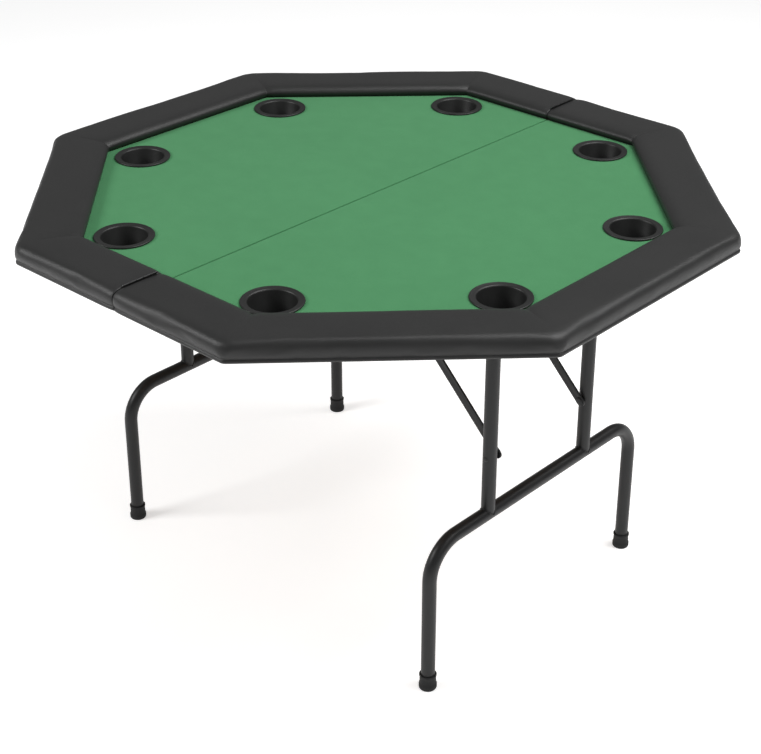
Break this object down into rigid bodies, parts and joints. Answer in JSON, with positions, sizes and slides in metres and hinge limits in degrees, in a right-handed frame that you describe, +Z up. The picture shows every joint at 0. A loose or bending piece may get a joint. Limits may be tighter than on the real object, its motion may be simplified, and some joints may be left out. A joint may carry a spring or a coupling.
{
  "type": "poker table",
  "caption": "Folding octagonal card table with a felt field, padded rail, cup holders, a middle seam and two folding T-shaped tube leg frames.",
  "frame": {"origin": "on the floor under the middle of the table, where the middle seam crosses the table's centre", "axes": "+Z up; +Y along the fold seam from the front to the rear; +X from the left half to the right half"},
  "size_m": [1.22, 1.22, 0.7589],
  "materials": {
    "felt": "matte",
    "leatherette": "satin",
    "fibreboard": "matte",
    "cup_plastic": "satin",
    "powder_coat": "satin",
    "bare_steel": "satin",
    "foot_rubber": "matte"
  },
  "bodies": {
    "half_left": {"top_board_left": "fibreboard", "felt_left": "felt", "rail_core_left": "fibreboard", "rail_pad_left": "leatherette", "cup_holder_3": "cup_plastic", "cup_holder_4": "cup_plastic", "cup_holder_5": "cup_plastic", "cup_holder_6": "cup_plastic", "leg_clamp_left_front": "powder_coat", "brace_bracket_left_front": "powder_coat", "hinge_leaf_left_front": "powder_coat", "hinge_pin_front": "bare_steel", "leg_clamp_left_rear": "powder_coat", "brace_bracket_left_rear": "powder_coat", "hinge_leaf_left_rear": "powder_coat", "hinge_pin_rear": "bare_steel"},
    "leg_frame_left": {"pivot_tube_left": "powder_coat", "leg_bow_left": "powder_coat", "upright_left_front": "powder_coat", "foot_left_front": "foot_rubber", "brace_bolt_left_front": "bare_steel", "upright_left_rear": "powder_coat", "foot_left_rear": "foot_rubber", "brace_bolt_left_rear": "bare_steel"},
    "upper_link_left_front": {"upper_link_left_front": "powder_coat", "knee_pin_left_front": "bare_steel"},
    "lower_link_left_front": {"lower_link_left_front": "powder_coat"},
    "upper_link_left_rear": {"upper_link_left_rear": "powder_coat", "knee_pin_left_rear": "bare_steel"},
    "lower_link_left_rear": {"lower_link_left_rear": "powder_coat"},
    "half_right": {"top_board_right": "fibreboard", "felt_right": "felt", "rail_core_right": "fibreboard", "rail_pad_right": "leatherette", "cup_holder_1": "cup_plastic", "cup_holder_2": "cup_plastic", "cup_holder_7": "cup_plastic", "cup_holder_8": "cup_plastic", "leg_clamp_right_front": "powder_coat", "brace_bracket_right_front": "powder_coat", "hinge_leaf_right_front": "powder_coat", "leg_clamp_right_rear": "powder_coat", "brace_bracket_right_rear": "powder_coat", "hinge_leaf_right_rear": "powder_coat"},
    "leg_frame_right": {"pivot_tube_right": "powder_coat", "leg_bow_right": "powder_coat", "upright_right_front": "powder_coat", "foot_right_front": "foot_rubber", "brace_bolt_right_front": "bare_steel", "upright_right_rear": "powder_coat", "foot_right_rear": "foot_rubber", "brace_bolt_right_rear": "bare_steel"},
    "upper_link_right_front": {"upper_link_right_front": "powder_coat", "knee_pin_right_front": "bare_steel"},
    "lower_link_right_front": {"lower_link_right_front": "powder_coat"},
    "upper_link_right_rear": {"upper_link_right_rear": "powder_coat", "knee_pin_right_rear": "bare_steel"},
    "lower_link_right_rear": {"lower_link_right_rear": "powder_coat"}
  },
  "joints": [
    {"name": "table_fold", "type": "hinge", "parent": "half_left", "child": "half_right", "pos_m": [0, 0, 0.757], "axis": [0, -1, 0], "range_deg": [0, 180]},
    {"name": "leg_fold_left", "type": "hinge", "parent": "half_left", "child": "leg_frame_left", "pos_m": [-0.389, 0, 0.7037], "axis": [0, -1, 0], "range_deg": [0, 90]},
    {"name": "upper_link_left_front_turn", "type": "hinge", "parent": "half_left", "child": "upper_link_left_front", "pos_m": [-0.0873, -0.1125, 0.7037], "axis": [0, 1, 0], "range_deg": [0, 45]},
    {"name": "lower_link_left_front_turn", "type": "hinge", "parent": "leg_frame_left", "child": "lower_link_left_front", "pos_m": [-0.389, -0.1189, 0.402], "axis": [0, -1, 0], "range_deg": [0, 45]},
    {"name": "upper_link_left_rear_turn", "type": "hinge", "parent": "half_left", "child": "upper_link_left_rear", "pos_m": [-0.0873, 0.1125, 0.7037], "axis": [0, 1, 0], "range_deg": [0, 45]},
    {"name": "lower_link_left_rear_turn", "type": "hinge", "parent": "leg_frame_left", "child": "lower_link_left_rear", "pos_m": [-0.389, 0.1189, 0.402], "axis": [0, -1, 0], "range_deg": [0, 45]},
    {"name": "leg_fold_right", "type": "hinge", "parent": "half_right", "child": "leg_frame_right", "pos_m": [0.389, 0, 0.7037], "axis": [0, 1, 0], "range_deg": [0, 85.5]},
    {"name": "upper_link_right_front_turn", "type": "hinge", "parent": "half_right", "child": "upper_link_right_front", "pos_m": [0.0873, -0.1125, 0.7037], "axis": [0, -1, 0], "range_deg": [0, 42.75]},
    {"name": "lower_link_right_front_turn", "type": "hinge", "parent": "leg_frame_right", "child": "lower_link_right_front", "pos_m": [0.389, -0.1189, 0.402], "axis": [0, 1, 0], "range_deg": [0, 42.75]},
    {"name": "upper_link_right_rear_turn", "type": "hinge", "parent": "half_right", "child": "upper_link_right_rear", "pos_m": [0.0873, 0.1125, 0.7037], "axis": [0, -1, 0], "range_deg": [0, 42.75]},
    {"name": "lower_link_right_rear_turn", "type": "hinge", "parent": "leg_frame_right", "child": "lower_link_right_rear", "pos_m": [0.389, 0.1189, 0.402], "axis": [0, 1, 0], "range_deg": [0, 42.75]}
  ],
  "couplings": [
    {"joint": "upper_link_left_front_turn", "follows": "leg_fold_left", "ratio": 0.5},
    {"joint": "lower_link_left_front_turn", "follows": "leg_fold_left", "ratio": 0.5},
    {"joint": "upper_link_left_rear_turn", "follows": "leg_fold_left", "ratio": 0.5},
    {"joint": "lower_link_left_rear_turn", "follows": "leg_fold_left", "ratio": 0.5},
    {"joint": "upper_link_right_front_turn", "follows": "leg_fold_right", "ratio": 0.5},
    {"joint": "lower_link_right_front_turn", "follows": "leg_fold_right", "ratio": 0.5},
    {"joint": "upper_link_right_rear_turn", "follows": "leg_fold_right", "ratio": 0.5},
    {"joint": "lower_link_right_rear_turn", "follows": "leg_fold_right", "ratio": 0.5}
  ]
}
